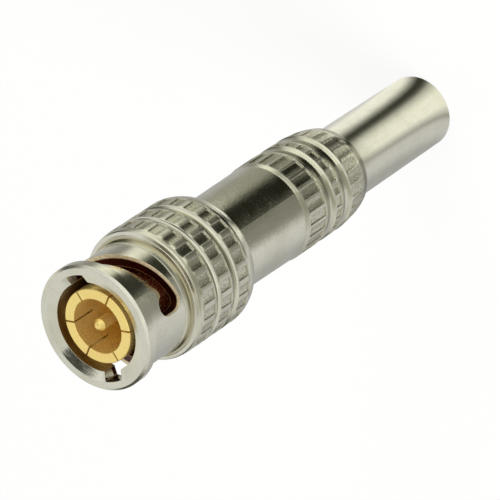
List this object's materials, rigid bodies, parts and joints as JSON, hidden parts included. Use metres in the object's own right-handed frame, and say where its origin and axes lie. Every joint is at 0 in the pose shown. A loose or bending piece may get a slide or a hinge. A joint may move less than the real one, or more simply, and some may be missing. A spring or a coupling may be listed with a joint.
{
  "type": "bayonet coaxial plug",
  "caption": "Bayonet coaxial cable plug with a knurled slotted coupling nut, gold slotted contact and centre pin, smooth barrel, knurled clamp nut and long tail tube.",
  "frame": {"origin": "centre of the rim of the tail tube, on the plane the plug stands on", "axes": "+Z along the plug's axis towards the mating face; +X is 71 degrees clockwise, seen from the mating face, of the middle of one bayonet entry notch"},
  "size_m": [0.0144, 0.0144, 0.0595],
  "materials": {
    "nickel": "bright nickel plate on brass, polished",
    "nickel_tube": "bright nickel plate on brass, highly polished",
    "gold": "gold plate on spring brass",
    "steel": "plain spring steel",
    "ptfe": "smooth white fluoropolymer",
    "silicone": "dark red silicone rubber",
    "black_rubber": "black rubber"
  },
  "bodies": {
    "body": {"plug_body": "nickel", "barrel": "nickel", "outer_contact": "gold", "front_insulator": "ptfe", "centre_contact": "gold", "rear_insulator": "ptfe", "face_gasket": "silicone", "braid_clamp": "nickel", "clamp_gasket": "black_rubber", "wave_washer_front": "steel", "wave_washer_rear": "steel"},
    "thrust": {"thrust_washer": "steel"},
    "nut": {"coupling_nut": "nickel", "retaining_ring": "steel"},
    "slip": {"slip_washer": "steel"},
    "clamp": {"clamp_nut": "nickel", "tail_tube": "nickel_tube"}
  },
  "joints": [
    {"name": "nut_slide", "type": "slide", "parent": "body", "child": "thrust", "axis": [0, 0, 1], "range_m": [0, 0.0008], "stiffness_N_per_m": 8000, "springref_m": -0.0005, "deforming": ["wave_washer_front", "wave_washer_rear"]},
    {"name": "nut_turn", "type": "hinge", "parent": "thrust", "child": "nut", "pos_m": [0, 0, 0.05], "axis": [0, 0, 1], "continuous": true},
    {"name": "clamp_slide", "type": "slide", "parent": "body", "child": "slip", "axis": [0, 0, -1], "range_m": [0, 0.0041]},
    {"name": "clamp_turn", "type": "hinge", "parent": "slip", "child": "clamp", "pos_m": [0, 0, 0.024], "axis": [0, 0, -1], "range_deg": [0, 2880]}
  ],
  "couplings": [
    {"joint": "clamp_slide", "follows": "clamp_turn", "m_per_rad": 0.000079577}
  ]
}
